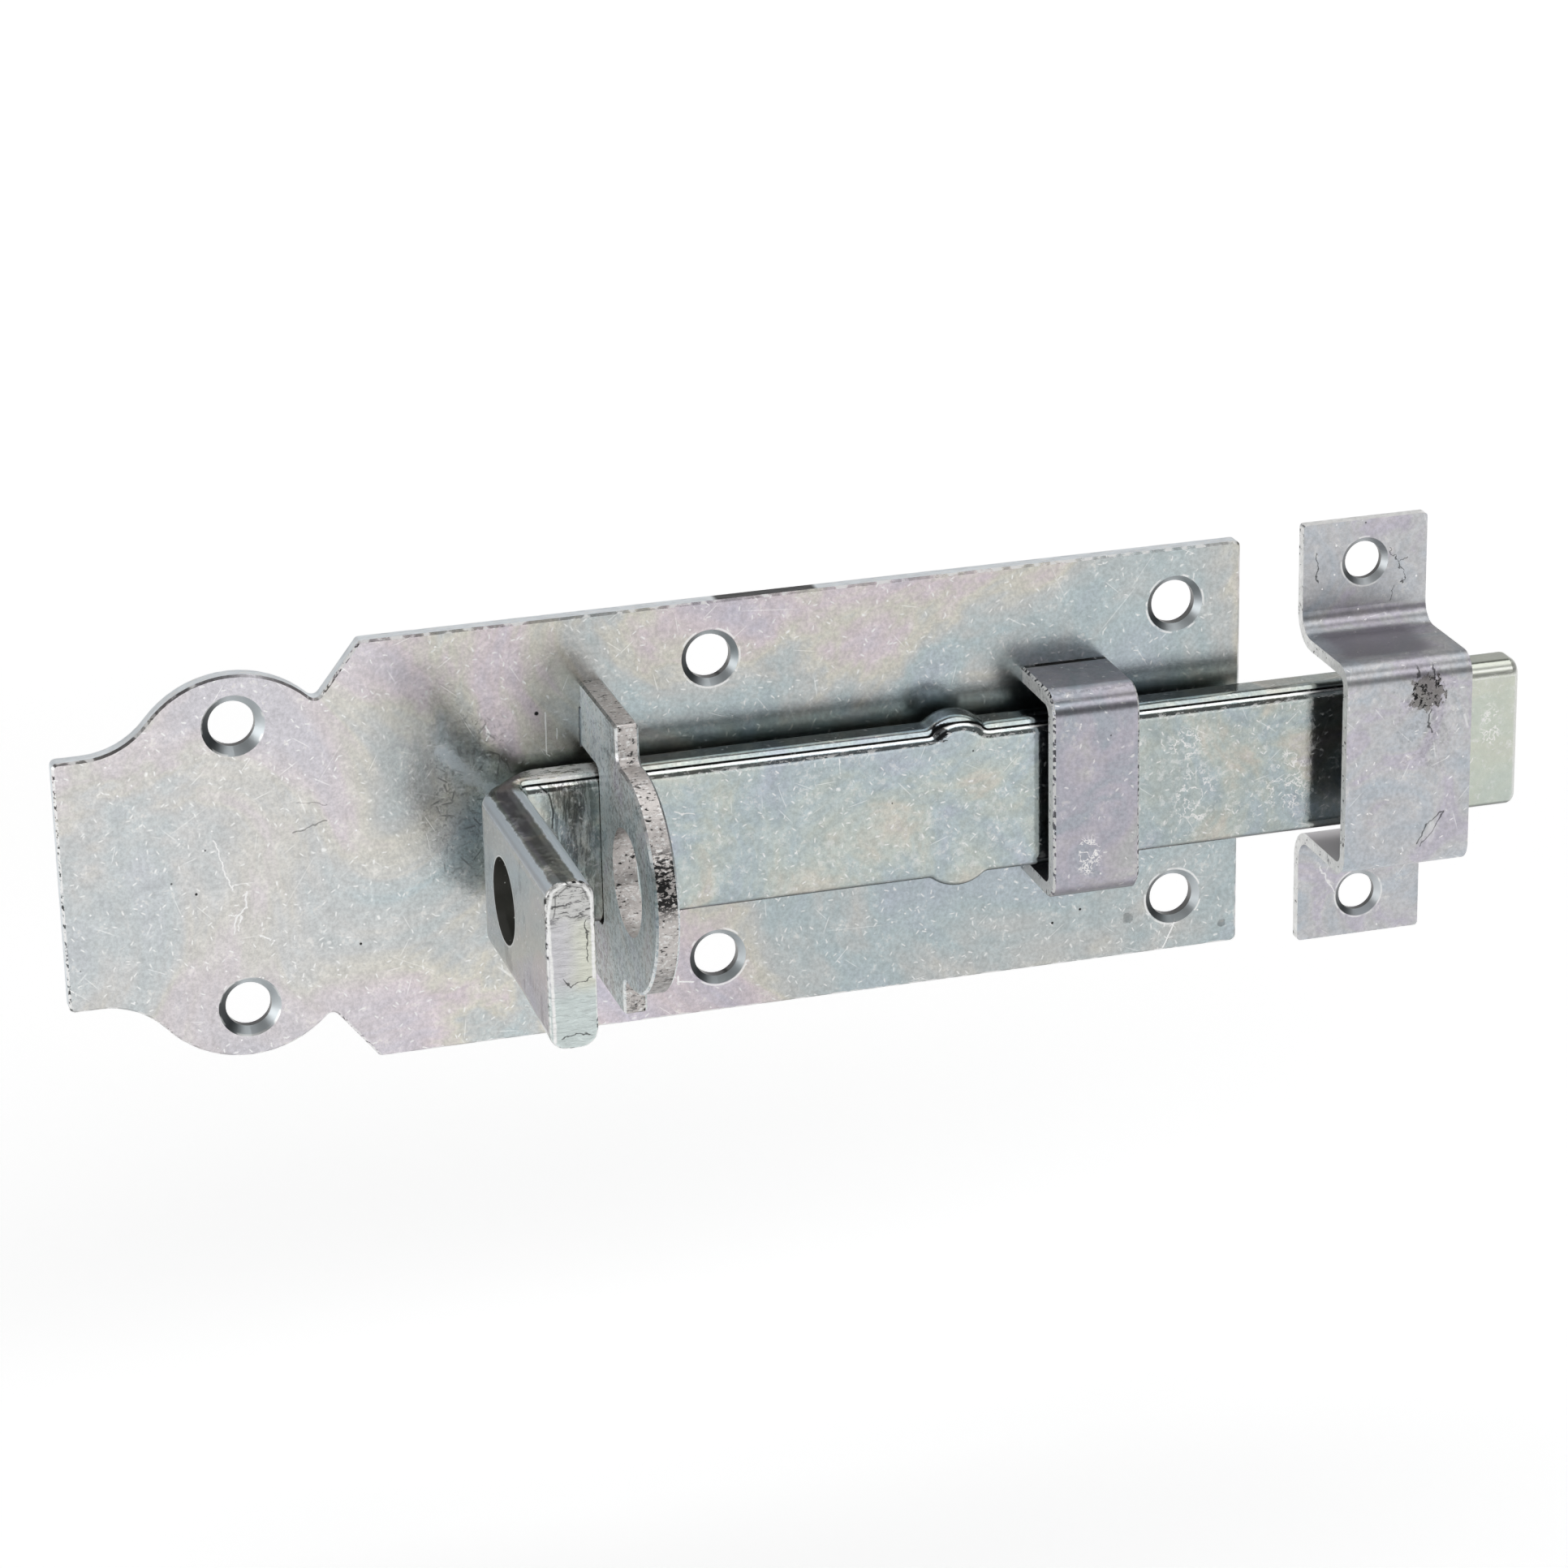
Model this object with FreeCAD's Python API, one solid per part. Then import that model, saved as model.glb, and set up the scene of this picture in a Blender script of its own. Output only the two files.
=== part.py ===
# Straight padbolt in millimetres: +X is the way the bolt is thrown, -Y is out from the door, +Z is up.
# The origin is on the plate's back face, midway between its middle pair of screw holes.
# A depth is measured from that back face out towards the person who stands before the door.
import FreeCAD, Part
import math
import os

# Flat bar that the bolt is bent from
bar_width = 20.0
bar_thickness = 6.0
bar_edge_radius = 1.9

# Back plate, stamped from sheet
plate_thickness = 2.0
plate_half_height = 27.5
plate_right = 70.5
shoulder_from_lobes = 16.05
shoulder_angle = 51.7
tab_length = 22.3
tab_half_height = 16.3
lobe_radius = 13.7
lobe_centre_z = 11.3
lobe_flare_radius = 10.5
notch_radius = 1.0
shoulder_radius = 0.6
plate_corner_radius = 0.8
sheet_edge_break = 0.3

# Screw holes of the plate, as columns of two
left_column_x = -60.2
left_column_z = 18.5
right_column_inset = 8.9
column_z = 20.1
screw_hole_radius = 2.9
countersink_radius = 3.7
lobe_countersink_radius = 3.95

# Padlock staple, stamped from thicker sheet and set on edge
staple_thickness = 3.0
staple_centre_x = -15.3
staple_half_height = 18.9
shoulder_depth = 19.0
head_radius = 14.0
head_setback = 0.6
eye_depth = 22.5
eye_radius = 6.75
staple_corner_radius = 0.5
neck_radius = 1.5
slot_corner_radius = 1.5
staple_tenon_height = 4.8

# Strap that guides the bolt near the plate's right end
strap_thickness = 2.0
strap_width = 11.5
strap_inset = 23.75
strap_outer_radius = 3.3
strap_tenon_width = 8.0

# Bolt
tip_overhang = 35.7
tip_edge_radius = 1.0
handle_length = 43.6
handle_hole_radius = 5.4
handle_edge_radius = 0.5
flare_length = 14.0
flare_drop = 1.15
flare_edge_radius = 2.2
bend_chamfer = 6.5
bend_blend_radius = 6.0
bend_inner_radius = 0.4
swage_centre_x = 29.9
swage_half_chord = 3.6
swage_height = 1.45
swage_blend_radius = 1.2

# Keeper, folded from sheet, for the frame beside the door
keeper_thickness = 1.5
keeper_width = 17.1
keeper_half_height = 28.65
keeper_bend_radius = 2.8
keeper_corner_radius = 0.5
keeper_hole_z = 23.0
keeper_hole_radius = 2.5
keeper_countersink_radius = 3.2

# Clearances
bolt_plate_gap = 2.1
slot_front_clearance = 0.25
slot_side_clearance = 0.65
bolt_rest_clearance = 0.3
handle_staple_gap = 9.35
strap_side_clearance = 1.95
strap_front_clearance = 1.85
keeper_side_clearance = 2.7
keeper_front_clearance = 5.2
keeper_plate_gap = 8.85
tenon_clearance = 0.2

# Places that follow from the sizes above
bar_half = bar_width / 2
bolt_back = plate_thickness + bolt_plate_gap
bolt_front = bolt_back + bar_thickness
slot_half = bar_half + slot_side_clearance
slot_depth = bolt_front + slot_front_clearance
bolt_drop = slot_side_clearance - bolt_rest_clearance
tip_x = plate_right + tip_overhang
staple_left = staple_centre_x - staple_thickness / 2
handle_inner_x = staple_left - handle_staple_gap
handle_outer_x = handle_inner_x - bar_thickness
strap_centre_x = plate_right - strap_inset
strap_inner_half = bar_half + strap_side_clearance
strap_outer_half = strap_inner_half + strap_thickness
strap_inner_depth = bolt_front + strap_front_clearance
strap_outer_depth = strap_inner_depth + strap_thickness
keeper_left = plate_right + keeper_plate_gap
keeper_centre_x = keeper_left + keeper_width / 2
keeper_inner_half = bar_half + keeper_side_clearance
keeper_outer_half = keeper_inner_half + keeper_thickness
keeper_inner_depth = bolt_front + keeper_front_clearance
keeper_depth = keeper_inner_depth + keeper_thickness
tab_left = left_column_x - tab_length
shoulder_x = left_column_x + shoulder_from_lobes
right_column_x = plate_right - right_column_inset


def flat(x, z):
    """Point of an outline drawn on the plate's back face."""
    return FreeCAD.Vector(x, 0, z)


def across(depth, z):
    """Point of an outline drawn across the bolt."""
    return FreeCAD.Vector(0, -depth, z)


def plan(x, depth):
    """Point of an outline drawn as seen from above."""
    return FreeCAD.Vector(x, -depth, 0)


def rounded_face(corners, place):
    """Flat face whose outline has corners (first, second, radius), put in space by place."""
    runs = []
    count = len(corners)
    for index, (first, second, radius) in enumerate(corners):
        here = place(first, second)
        before = place(*corners[index - 1][:2])
        after = place(*corners[(index + 1) % count][:2])
        back = (before - here).normalize()
        ahead = (after - here).normalize()
        half_angle = back.getAngle(ahead) / 2
        cut = radius / math.tan(half_angle)
        middle = here + (back + ahead).normalize() * (radius / math.sin(half_angle) - radius)
        runs.append((here + back * cut, middle, here + ahead * cut, radius))
    edges = []
    for index, (start, middle, end, radius) in enumerate(runs):
        if radius > 0:
            edges.append(Part.Arc(start, middle, end).toShape())
        following = runs[(index + 1) % count][0]
        if end.distanceToPoint(following) > 1e-6:
            edges.append(Part.LineSegment(end, following).toShape())
    return Part.Face(Part.Wire(edges))


def block(x_range, depth_range, z_range):
    """Square-edged block between pairs of x, depth and z."""
    corner = FreeCAD.Vector(x_range[0], -depth_range[1], z_range[0])
    size = [b - a for a, b in (x_range, depth_range, z_range)]
    return Part.makeBox(size[0], size[1], size[2], corner)


def is_along(edge, direction):
    """Whether an edge is a straight line along a direction."""
    if not isinstance(edge.Curve, (Part.Line, Part.LineSegment)):
        return False
    span = edge.Vertexes[-1].Point - edge.Vertexes[0].Point
    return span.cross(direction).Length < 1e-6 * max(span.Length, 1)


def edges_near(shape, direction, points, ignored):
    """Straight edges along a direction that pass through points, compared without one coordinate."""
    found = []
    for edge in shape.Edges:
        if not is_along(edge, direction):
            continue
        middle = edge.CenterOfMass
        for point in points:
            gap = middle - point
            setattr(gap, ignored, 0)
            if gap.Length < 0.01:
                found.append(edge)
    return found


def outline_edges(shape, axis, value):
    """Edges that lie in the plane where one coordinate has a value."""
    found = []
    for edge in shape.Edges:
        box = edge.BoundBox
        low = getattr(box, axis + "Min")
        high = getattr(box, axis + "Max")
        if abs(low - value) < 1e-4 and abs(high - value) < 1e-4:
            found.append(edge)
    return found


X_AXIS = FreeCAD.Vector(1, 0, 0)
Y_AXIS = FreeCAD.Vector(0, 1, 0)
Z_AXIS = FreeCAD.Vector(0, 0, 1)


def screw_hole(x, z, thickness, hole_radius, rim_radius):
    """Cutter for a screw hole through a sheet, with a right-angled countersink from the front."""
    sink = rim_radius - hole_radius
    past = 1.0
    hole = Part.makeCylinder(hole_radius, thickness + 2 * past, FreeCAD.Vector(x, past, z), -Y_AXIS)
    base = FreeCAD.Vector(x, sink - thickness, z)
    cone = Part.makeCone(hole_radius, rim_radius + past, sink + past, base, -Y_AXIS)
    return hole.fuse(cone)


def make_back_plate():
    """Plate with a narrower left end that swells into a lobe round each left screw hole."""
    flank = (plate_half_height - tab_half_height) / math.tan(math.radians(shoulder_angle))
    body = rounded_face([
        (plate_right, plate_half_height, plate_corner_radius),
        (plate_right, -plate_half_height, plate_corner_radius),
        (shoulder_x, -plate_half_height, shoulder_radius),
        (shoulder_x - flank, -tab_half_height, 0),
        (shoulder_x - flank, tab_half_height, 0),
        (shoulder_x, plate_half_height, shoulder_radius)], flat)
    tab = rounded_face([
        (tab_left, -tab_half_height, plate_corner_radius),
        (tab_left, tab_half_height, plate_corner_radius),
        (shoulder_x, tab_half_height, 0),
        (shoulder_x, -tab_half_height, 0)], flat)
    sheet = FreeCAD.Vector(0, -plate_thickness, 0)
    plate = body.extrude(sheet).fuse(tab.extrude(sheet))
    for side in (1, -1):
        centre = FreeCAD.Vector(left_column_x, 0, side * lobe_centre_z)
        plate = plate.fuse(Part.makeCylinder(lobe_radius, plate_thickness, centre, -Y_AXIS))
    plate = plate.removeSplitter()

    # The lobe meets the tab on its left and the shoulder's flank on its right
    rise = tab_half_height - lobe_centre_z
    meet_x = left_column_x - math.sqrt(lobe_radius ** 2 - rise ** 2)
    straight = tab_length - 1.1 * plate_corner_radius
    widest_flare = (straight ** 2 - lobe_radius ** 2 + rise ** 2) / (2 * (lobe_radius - rise))
    flare = min(lobe_flare_radius, 0.98 * widest_flare)
    slope = math.radians(shoulder_angle)
    to_shoulder = FreeCAD.Vector(shoulder_x - left_column_x, 0, plate_half_height - lobe_centre_z)
    along = FreeCAD.Vector(math.cos(slope), 0, math.sin(slope))
    reach = to_shoulder.dot(along)
    offset = (to_shoulder - along * reach).Length
    notch = along * (math.sqrt(lobe_radius ** 2 - offset ** 2) - reach)
    notch_x = shoulder_x + notch.x
    notch_z = plate_half_height + notch.z
    flares = [flat(meet_x, side * tab_half_height) for side in (1, -1)]
    notches = [flat(notch_x, side * notch_z) for side in (1, -1)]
    plate = plate.makeFillet(flare, edges_near(plate, Y_AXIS, flares, "y"))
    plate = plate.makeFillet(notch_radius, edges_near(plate, Y_AXIS, notches, "y"))
    plate = plate.makeChamfer(sheet_edge_break, outline_edges(plate, "Y", -plate_thickness))

    for side in (1, -1):
        plate = plate.cut(screw_hole(left_column_x, side * left_column_z, plate_thickness,
                                     screw_hole_radius, lobe_countersink_radius))
        for x in (0, right_column_x):
            plate = plate.cut(screw_hole(x, side * column_z, plate_thickness,
                                         screw_hole_radius, countersink_radius))
    for tenon in staple_tenons(tenon_clearance) + strap_tenons(tenon_clearance):
        plate = plate.cut(tenon)
    return plate


def staple_tenons(grown):
    """The two tenons of the staple, or with a clearance the slots that they pass through."""
    half = staple_thickness / 2 + grown
    across_x = (staple_centre_x - half, staple_centre_x + half)
    inner = slot_half - grown
    outer = slot_half + staple_tenon_height + grown
    depths = (-grown, plate_thickness + grown)
    if grown == 0:
        depths = (0, plate_thickness)
    return [block(across_x, depths, (inner, outer)), block(across_x, depths, (-outer, -inner))]


def strap_tenons(grown):
    """The two tenons of the strap, or with a clearance the slots that they pass through."""
    half = strap_tenon_width / 2 + grown
    across_x = (strap_centre_x - half, strap_centre_x + half)
    inner = strap_inner_half - grown
    outer = strap_outer_half + grown
    depths = (-grown, plate_thickness + grown)
    if grown == 0:
        depths = (0, plate_thickness)
    return [block(across_x, depths, (inner, outer)), block(across_x, depths, (-outer, -inner))]


def make_staple():
    """Upright staple: two legs astride the bolt and a round head with the padlock's eye."""
    sheet = FreeCAD.Vector(staple_thickness, 0, 0)
    legs = rounded_face([
        (plate_thickness, staple_half_height, 0),
        (shoulder_depth, staple_half_height, staple_corner_radius),
        (shoulder_depth, -staple_half_height, staple_corner_radius),
        (plate_thickness, -staple_half_height, 0)], across).extrude(sheet)
    eye_centre = across(eye_depth, 0)
    head_depth = eye_depth - head_setback
    staple = legs.fuse(Part.makeCylinder(head_radius, staple_thickness, across(head_depth, 0), X_AXIS))
    staple = staple.removeSplitter()
    neck_z = math.sqrt(head_radius ** 2 - (head_depth - shoulder_depth) ** 2)
    necks = [across(shoulder_depth, side * neck_z) for side in (1, -1)]
    staple = staple.makeFillet(neck_radius, edges_near(staple, X_AXIS, necks, "x"))
    rims = [edge for edge in outline_edges(staple, "X", 0) + outline_edges(staple, "X", staple_thickness)
            if edge.BoundBox.YMin < -plate_thickness - 1e-3]
    staple = staple.makeChamfer(sheet_edge_break, rims)
    slot = rounded_face([
        (-1, slot_half, 0),
        (slot_depth, slot_half, slot_corner_radius),
        (slot_depth, -slot_half, slot_corner_radius),
        (-1, -slot_half, 0)], across).extrude(sheet)
    eye = Part.makeCylinder(eye_radius, staple_thickness, eye_centre, X_AXIS)
    staple = staple.cut(slot).cut(eye)
    staple.translate(FreeCAD.Vector(staple_left, 0, 0))
    for tenon in staple_tenons(0):
        staple = staple.fuse(tenon)
    return staple.removeSplitter()


def make_strap():
    """Strap bent over the bolt, with a tenon below each leg."""
    inner_radius = max(strap_outer_radius - strap_thickness, 0.2)
    strap = rounded_face([
        (plate_thickness, strap_outer_half, 0),
        (strap_outer_depth, strap_outer_half, strap_outer_radius),
        (strap_outer_depth, -strap_outer_half, strap_outer_radius),
        (plate_thickness, -strap_outer_half, 0),
        (plate_thickness, -strap_inner_half, 0),
        (strap_inner_depth, -strap_inner_half, inner_radius),
        (strap_inner_depth, strap_inner_half, inner_radius),
        (plate_thickness, strap_inner_half, 0)], across).extrude(FreeCAD.Vector(strap_width, 0, 0))
    rims = []
    for edge in outline_edges(strap, "X", 0) + outline_edges(strap, "X", strap_width):
        box = edge.BoundBox
        if max(abs(box.ZMin), abs(box.ZMax)) > strap_inner_half + 0.01 and -box.YMin > plate_thickness + 0.01:
            rims.append(edge)
    strap = strap.makeChamfer(sheet_edge_break, rims)
    strap.translate(FreeCAD.Vector(strap_centre_x - strap_width / 2, 0, 0))
    for tenon in strap_tenons(0):
        strap = strap.fuse(tenon)
    return strap.removeSplitter()


def bar_section(depth, drop, radius):
    """Outline of the handle's section at a depth, with its lower edge a drop below the bar's."""
    def place(x, z):
        return FreeCAD.Vector(x, -depth, z)
    return rounded_face([
        (handle_outer_x, bar_half, radius),
        (handle_inner_x, bar_half, radius),
        (handle_inner_x, -bar_half - drop, radius),
        (handle_outer_x, -bar_half - drop, radius)], place).OuterWire


def make_bolt():
    """Flat bar bent square into a handle, swaged on both edges so that it can't leave the plate."""
    outline = rounded_face([
        (tip_x, bolt_back, 0),
        (handle_outer_x + bend_chamfer, bolt_back, bend_blend_radius),
        (handle_outer_x, bolt_back + bend_chamfer, bend_blend_radius),
        (handle_outer_x, handle_length - flare_length, 0),
        (handle_inner_x, handle_length - flare_length, 0),
        (handle_inner_x, bolt_front, bend_inner_radius),
        (tip_x, bolt_front, 0)], plan)
    bolt = outline.extrude(Z_AXIS * bar_width)
    bolt.translate(Z_AXIS * -bar_half)

    # Each swage is a shallow arc of metal squeezed out past the bar's edge
    swage_radius = (swage_half_chord ** 2 + swage_height ** 2) / (2 * swage_height)
    for side in (1, -1):
        centre = FreeCAD.Vector(swage_centre_x, -bolt_back, side * (bar_half + swage_height - swage_radius))
        bolt = bolt.fuse(Part.makeCylinder(swage_radius, bar_thickness, centre, -Y_AXIS))
    bolt = bolt.removeSplitter()
    feet = [flat(swage_centre_x + end * swage_half_chord, side * bar_half)
            for end in (1, -1) for side in (1, -1)]
    bolt = bolt.makeFillet(swage_blend_radius, edges_near(bolt, Y_AXIS, feet, "y"))

    # The rolled edges run the whole length, round the bend and over the swages
    rolled = []
    for face in bolt.Faces:
        low_u, high_u, low_v, high_v = face.ParameterRange
        normal = face.normalAt((low_u + high_u) / 2, (low_v + high_v) / 2)
        centre = face.CenterOfMass
        at_end = abs(centre.x - tip_x) < 0.01 or abs(centre.y + handle_length - flare_length) < 0.01
        if abs(normal.z) < 1e-6 and not at_end:
            rolled += [edge for edge in face.Edges if not is_along(edge, Z_AXIS)]
    bolt = bolt.makeFillet(bar_edge_radius, rolled)
    bolt = bolt.makeFillet(tip_edge_radius, outline_edges(bolt, "X", tip_x))

    # Shearing the bar drew the handle's end down, so it widens there
    flare = Part.makeLoft([
        bar_section(handle_length - flare_length, 0, bar_edge_radius),
        bar_section(handle_length, flare_drop, flare_edge_radius)], True, True)
    bolt = bolt.fuse(flare).removeSplitter()
    bolt = bolt.makeFillet(handle_edge_radius, outline_edges(bolt, "Y", -handle_length))

    # The handle's hole lines up with the staple's eye
    hole_start = FreeCAD.Vector(handle_outer_x - 1, -eye_depth, 0)
    bolt = bolt.cut(Part.makeCylinder(handle_hole_radius, bar_thickness + 2, hole_start, X_AXIS))
    bolt.translate(Z_AXIS * -bolt_drop)
    return bolt


def make_keeper():
    """Keeper folded to a hat shape, with a countersunk screw hole in each foot."""
    inner_radius = max(keeper_bend_radius - keeper_thickness, 0.2)
    foot_radius = keeper_bend_radius + keeper_thickness
    keeper = rounded_face([
        (0, keeper_half_height, 0),
        (keeper_thickness, keeper_half_height, 0),
        (keeper_thickness, keeper_outer_half, keeper_bend_radius),
        (keeper_depth, keeper_outer_half, keeper_bend_radius),
        (keeper_depth, -keeper_outer_half, keeper_bend_radius),
        (keeper_thickness, -keeper_outer_half, keeper_bend_radius),
        (keeper_thickness, -keeper_half_height, 0),
        (0, -keeper_half_height, 0),
        (0, -keeper_inner_half, foot_radius),
        (keeper_inner_depth, -keeper_inner_half, inner_radius),
        (keeper_inner_depth, keeper_inner_half, inner_radius),
        (0, keeper_inner_half, foot_radius)], across).extrude(X_AXIS * keeper_width)
    corners = [FreeCAD.Vector(x, 0, side * keeper_half_height) for x in (0, keeper_width) for side in (1, -1)]
    keeper = keeper.makeFillet(keeper_corner_radius, edges_near(keeper, Y_AXIS, corners, "y"))
    keeper.translate(X_AXIS * keeper_left)
    for side in (1, -1):
        keeper = keeper.cut(screw_hole(keeper_centre_x, side * keeper_hole_z, keeper_thickness,
                                       keeper_hole_radius, keeper_countersink_radius))
    keeper.translate(Z_AXIS * -bolt_drop)
    return keeper


os.makedirs("parts", exist_ok=True)
pieces = {
    "back_plate": make_back_plate(),
    "staple": make_staple(),
    "strap": make_strap(),
    "bolt": make_bolt(),
    "keeper": make_keeper(),
}
for name, shape in pieces.items():
    shape.exportStep("parts/" + name + ".step")
    print(name, shape.isValid(), len(shape.Solids), round(shape.Volume, 1), shape.BoundBox)
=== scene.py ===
import math

import bpy
from mathutils import Matrix, Vector

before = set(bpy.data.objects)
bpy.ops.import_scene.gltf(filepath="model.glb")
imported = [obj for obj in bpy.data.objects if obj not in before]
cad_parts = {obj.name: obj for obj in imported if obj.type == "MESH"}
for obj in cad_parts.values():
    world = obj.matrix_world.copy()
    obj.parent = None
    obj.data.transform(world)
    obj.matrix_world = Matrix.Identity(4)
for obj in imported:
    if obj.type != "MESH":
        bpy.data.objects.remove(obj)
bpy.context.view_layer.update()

# Camera: where the photograph was taken from, in metres, degrees and millimetres of lens
CAMERA_PLACE = Vector((-0.15747, -0.57404, 0.22673))
CAMERA_YAW = 16.246
CAMERA_PITCH = 20.650
CAMERA_ROLL = -1.216
SENSOR_WIDTH = 36.0
FOCAL_LENGTH = 116.05
NEAREST_SEEN = 0.01
FARTHEST_SEEN = 50.0

# Room: a white floor below the padbolt, dim walls, and soft boxes above, in front and at the left
FLOOR_DEPTH = 0.095
FLOOR_REACH = 14.0
FLOOR_COLOUR = (0.86, 0.86, 0.86, 1.0)
FLOOR_LIFT_NEAR = 0.45
FLOOR_LIFT_FAR = 0.75
FLOOR_LIFT_FROM = 0.25
FLOOR_LIFT_TO = 0.80
ROOM = 0.21
BACKDROP = 0.75
SOFT_BOXES = {
    "overhead_box": {"place": (0.15, 0.22, 1.00), "size": (1.30, 0.85), "radiance": 1.35},
    "front_box": {"place": (0.28, -0.86, 0.78), "size": (1.40, 0.42), "radiance": 1.8},
    "left_box": {"place": (-1.00, -0.40, 0.20), "size": (0.60, 0.50), "radiance": 2.4},
}

# Film tints of the passivated zinc
TEAL = (0.405, 0.468, 0.482, 1.0)
BLUE = (0.405, 0.448, 0.495, 1.0)
GREY = (0.475, 0.487, 0.480, 1.0)
CREAM = (0.540, 0.525, 0.470, 1.0)
PINK = (0.560, 0.500, 0.522, 1.0)
LILAC = (0.485, 0.465, 0.525, 1.0)
MAUVE = (0.500, 0.480, 0.510, 1.0)
PALE = (0.535, 0.530, 0.530, 1.0)
STRAP_BLUE = (0.42, 0.43, 0.48, 1.0)
BOLT_GREEN = (0.46, 0.50, 0.47, 1.0)
TIP_GREEN = (0.520, 0.560, 0.480, 1.0)
KEEPER_TEAL = (0.44, 0.48, 0.52, 1.0)
KEEPER_BLUE = (0.48, 0.50, 0.53, 1.0)
KEEPER_GREY = (0.52, 0.52, 0.53, 1.0)
KEEPER_MAUVE = (0.53, 0.505, 0.54, 1.0)
KEEPER_PLUM = (0.30, 0.285, 0.32, 1.0)

# Bare metal, pale bloom, painted light, highlights and reflections, and dark marks and painted shade
BARE = (0.88, 0.88, 0.87, 1.0)
BRIGHT = (0.95, 0.95, 0.94, 1.0)
PEARL = (0.88, 0.94, 0.96, 1.0)
# Painted light inside the keeper's lower riser
INSIDE_PAINTED_LIGHT = (0.94, 0.91, 0.93, 1.0)
CREEP = (0.90, 0.88, 0.87, 1.0)
CHALK = (0.74, 0.72, 0.69, 1.0)
# Painted reflection on the plate beside the handle's bend
PAINTED_REFLECTION_BLUE = (0.70, 0.76, 0.82, 1.0)
ROLLED = (0.66, 0.74, 0.80, 1.0)
ROLLED_CORNER = (0.66, 0.72, 0.78, 1.0)
TIP_ROLLED = (0.80, 0.82, 0.74, 1.0)
HANDLE_SIDE = (0.58, 0.57, 0.60, 1.0)
PLATE_CONE = (0.56, 0.60, 0.62, 1.0)
KEEPER_CONE = (0.60, 0.63, 0.65, 1.0)
PLATE_EDGE = (0.82, 0.86, 0.89, 1.0)
STAPLE_EDGE = (0.60, 0.565, 0.545, 1.0)
END_GREY = (0.50, 0.50, 0.49, 1.0)
END_LILAC = (0.505, 0.50, 0.52, 1.0)
END_CREAM = (0.57, 0.58, 0.51, 1.0)
END_TEAL = (0.52, 0.575, 0.565, 1.0)
BLOTCH = (0.20, 0.185, 0.17, 1.0)
BORE = (0.10, 0.10, 0.09, 1.0)
INK = (0.11, 0.13, 0.14, 1.0)
DUSK = (0.14, 0.14, 0.14, 1.0)
SOOT = (0.02, 0.02, 0.02, 1.0)

# Holes and the upper swage, in millimetres: places (x, z), the handle's hole (y, z), radii of walls and cones
PLATE_SCREWS = [(-60.2, 18.5), (-60.2, -18.5), (0.0, 20.1), (0.0, -20.1), (61.6, 20.1), (61.6, -20.1)]
PLATE_HOLE_RADIUS = 2.9
PLATE_CONE_RADIUS = 3.9
KEEPER_SCREWS = [(87.9, 22.65), (87.9, -23.35)]
KEEPER_HOLE_RADIUS = 2.5
KEEPER_CONE_RADIUS = 3.2
HANDLE_HOLE = (-22.5, -0.35)
HANDLE_HOLE_RADIUS = 5.4
SWAGE = (27.4, 9.5)

# One unit of the patterns, the step between their seeds, a noise left unstretched, and a straight line's wobble
MILLIMETRE = 0.001
SEED_STEP = Vector((37.0, 61.0, 23.0))
EVEN = (1.0, 1.0, 1.0)
STRAIGHT = 0.05


class Signal:
    """One socket of a material, with arithmetic written as Python; & takes the lesser of two and | the greater."""

    def __init__(self, shader, socket):
        self.shader = shader
        self.socket = socket

    def _with(self, operation, first, second=0.0):
        return self.shader.node("ShaderNodeMath", {"operation": operation}, {0: first, 1: second})

    def __add__(self, other):
        return self._with("ADD", self, other)

    def __radd__(self, other):
        return self._with("ADD", other, self)

    def __sub__(self, other):
        return self._with("SUBTRACT", self, other)

    def __rsub__(self, other):
        return self._with("SUBTRACT", other, self)

    def __mul__(self, other):
        return self._with("MULTIPLY", self, other)

    def __rmul__(self, other):
        return self._with("MULTIPLY", other, self)

    def __abs__(self):
        return self._with("ABSOLUTE", self)

    def __and__(self, other):
        return self._with("MINIMUM", self, other)

    def __or__(self, other):
        return self._with("MAXIMUM", self, other)


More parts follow.
